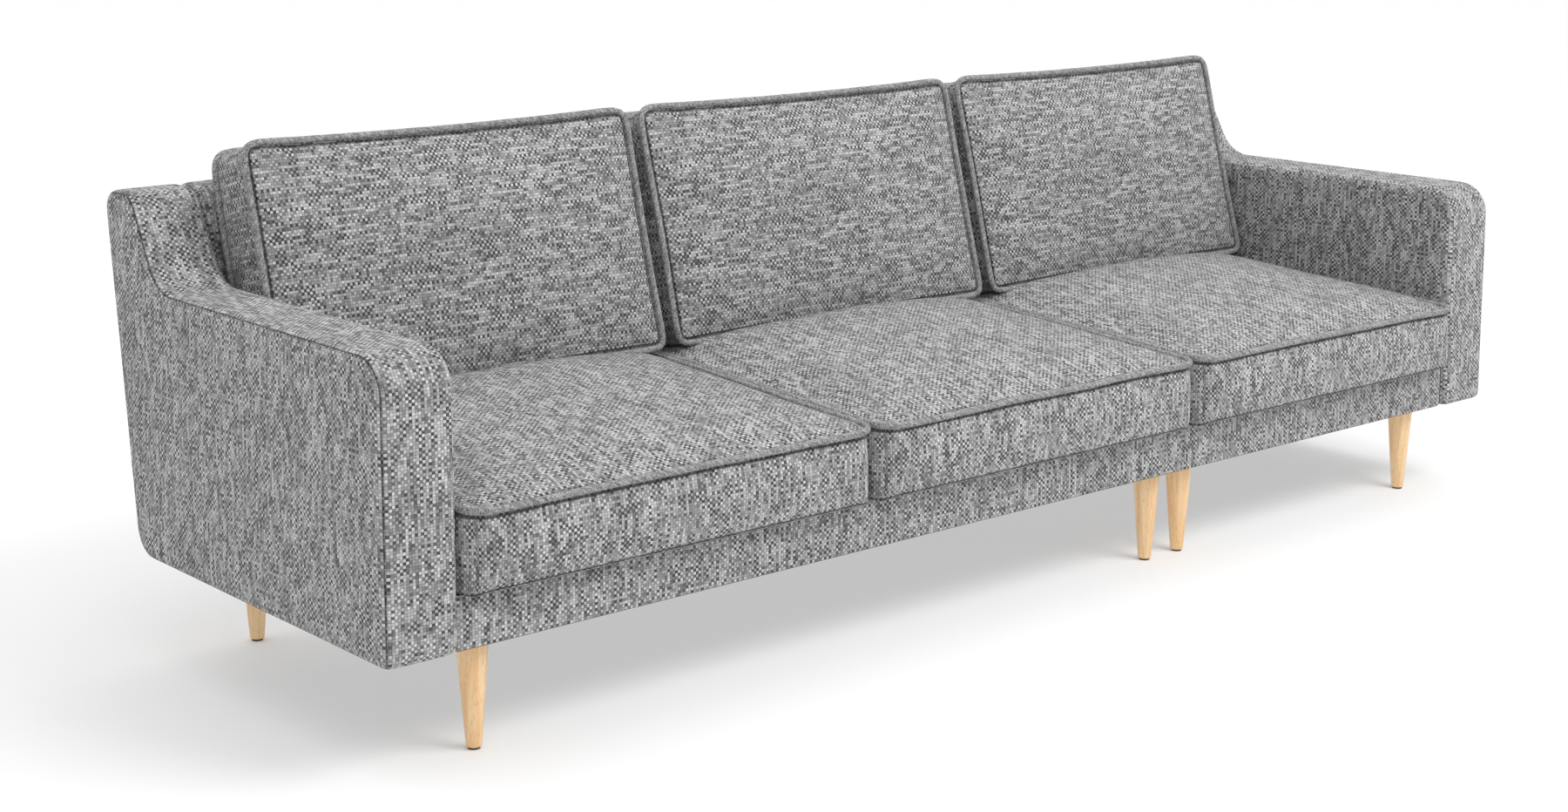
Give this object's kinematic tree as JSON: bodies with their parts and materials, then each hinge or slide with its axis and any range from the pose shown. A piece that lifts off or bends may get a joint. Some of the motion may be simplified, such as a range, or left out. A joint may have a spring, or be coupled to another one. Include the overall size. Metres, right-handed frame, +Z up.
{
  "type": "modular sofa",
  "caption": "Long modular sofa with slab arms, loose box seat and back cushions in chunky woven fabric, on tapered turned wooden legs.",
  "frame": {"origin": "on the floor, under the middle of the sofa's bounding box", "axes": "+X along the seat to the right as seen from the front, +Y from the front towards the back, +Z up"},
  "size_m": [2.7, 0.888, 0.872],
  "materials": {
    "upholstery": "matte",
    "foam": "matte",
    "timber": "matte",
    "leg_wood": "satin",
    "webbing": "matte",
    "lining": "matte",
    "zinc_steel": "satin",
    "glide": "matte"
  },
  "bodies": {
    "left_module": {"front_rail_left": "timber", "back_rail_left": "timber", "cross_rails_left": "timber", "corner_blocks_left": "timber", "seat_webbing_left": "webbing", "deck_cloth_left": "lining", "dust_cover_left": "lining", "base_cover_left": "upholstery", "arm_frame_left": "timber", "arm_foam_left": "foam", "arm_cover_left": "upholstery", "back_frame_left": "timber", "back_webbing_left": "webbing", "back_foam_left": "foam", "back_cover_left": "upholstery", "frame_bolts_left": "zinc_steel", "leg_inserts_left": "zinc_steel", "leg_bolts_left": "zinc_steel", "leg_glides_left": "glide", "front_outer_leg_left": "leg_wood", "front_inner_leg_left": "leg_wood", "rear_outer_leg_left": "leg_wood", "rear_inner_leg_left": "leg_wood", "module_pins": "zinc_steel"},
    "right_module": {"front_rail_right": "timber", "back_rail_right": "timber", "cross_rails_right": "timber", "corner_blocks_right": "timber", "seat_webbing_right": "webbing", "deck_cloth_right": "lining", "dust_cover_right": "lining", "base_cover_right": "upholstery", "arm_frame_right": "timber", "arm_foam_right": "foam", "arm_cover_right": "upholstery", "back_frame_right": "timber", "back_webbing_right": "webbing", "back_foam_right": "foam", "back_cover_right": "upholstery", "frame_bolts_right": "zinc_steel", "leg_inserts_right": "zinc_steel", "leg_bolts_right": "zinc_steel", "leg_glides_right": "glide", "front_outer_leg_right": "leg_wood", "front_inner_leg_right": "leg_wood", "rear_outer_leg_right": "leg_wood", "rear_inner_leg_right": "leg_wood", "module_sockets": "zinc_steel"},
    "seat_cushion_1": {"seat_cover_1": "upholstery", "seat_core_1": "foam"},
    "back_cushion_1": {"rest_cover_1": "upholstery", "rest_core_1": "foam"},
    "seat_cushion_2": {"seat_cover_2": "upholstery", "seat_core_2": "foam"},
    "back_cushion_2": {"rest_cover_2": "upholstery", "rest_core_2": "foam"},
    "seat_cushion_3": {"seat_cover_3": "upholstery", "seat_core_3": "foam"},
    "back_cushion_3": {"rest_cover_3": "upholstery", "rest_core_3": "foam"}
  },
  "joints": [
    {"name": "module_slide", "type": "slide", "parent": "left_module", "child": "right_module", "axis": [1, 0, 0], "range_m": [0, 0.08]},
    {"name": "seat_pull_1", "type": "slide", "parent": "left_module", "child": "seat_cushion_1", "axis": [0, -1, 0], "range_m": [0, 0.12]},
    {"name": "back_lift_1", "type": "slide", "parent": "left_module", "child": "back_cushion_1", "axis": [0, 0.2672, 0.9636], "range_m": [0, 0.12]},
    {"name": "seat_pull_2", "type": "slide", "parent": "left_module", "child": "seat_cushion_2", "axis": [0, -1, 0], "range_m": [0, 0.12]},
    {"name": "back_lift_2", "type": "slide", "parent": "left_module", "child": "back_cushion_2", "axis": [0, 0.2672, 0.9636], "range_m": [0, 0.12]},
    {"name": "seat_pull_3", "type": "slide", "parent": "right_module", "child": "seat_cushion_3", "axis": [0, -1, 0], "range_m": [0, 0.12]},
    {"name": "back_lift_3", "type": "slide", "parent": "right_module", "child": "back_cushion_3", "axis": [0, 0.2672, 0.9636], "range_m": [0, 0.12]}
  ]
}
